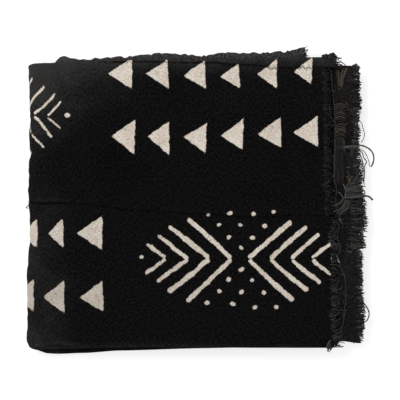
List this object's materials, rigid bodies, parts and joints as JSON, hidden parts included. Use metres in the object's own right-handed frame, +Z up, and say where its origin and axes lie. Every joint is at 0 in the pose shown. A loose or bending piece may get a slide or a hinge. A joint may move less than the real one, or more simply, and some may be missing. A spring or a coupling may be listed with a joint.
{
  "type": "folded bogolan mud cloth",
  "caption": "Handwoven cotton cloth of sewn strips, dyed black with pale geometric figures, folded into a flat rectangular pile with frayed ends.",
  "frame": {"origin": "on the pile's flat underside, at the middle of the pictured frame", "axes": "+X along the woven strips towards the frayed ends, +Y across them towards the top fold, +Z up"},
  "size_m": [0.357, 0.3201, 0.0272],
  "materials": {
    "dyed_cloth": "matte black mud-dyed handwoven cotton with pale undyed figures",
    "frayed_yarn": "matte loose dark cotton yarn"
  },
  "bodies": {
    "root": {"strip_1": "dyed_cloth", "strip_2": "dyed_cloth", "strip_3": "dyed_cloth", "strip_4": "dyed_cloth", "strip_5": "dyed_cloth", "strip_6": "dyed_cloth", "top_fringe_1": "frayed_yarn", "top_fringe_2": "frayed_yarn", "top_fringe_3": "frayed_yarn", "top_fringe_4": "frayed_yarn", "top_fringe_5": "frayed_yarn", "top_fringe_6": "frayed_yarn", "under_fringe_1": "frayed_yarn", "under_fringe_2": "frayed_yarn", "under_fringe_3": "frayed_yarn", "under_fringe_4": "frayed_yarn", "under_fringe_5": "frayed_yarn", "under_fringe_6": "frayed_yarn"}
  },
  "joints": []
}
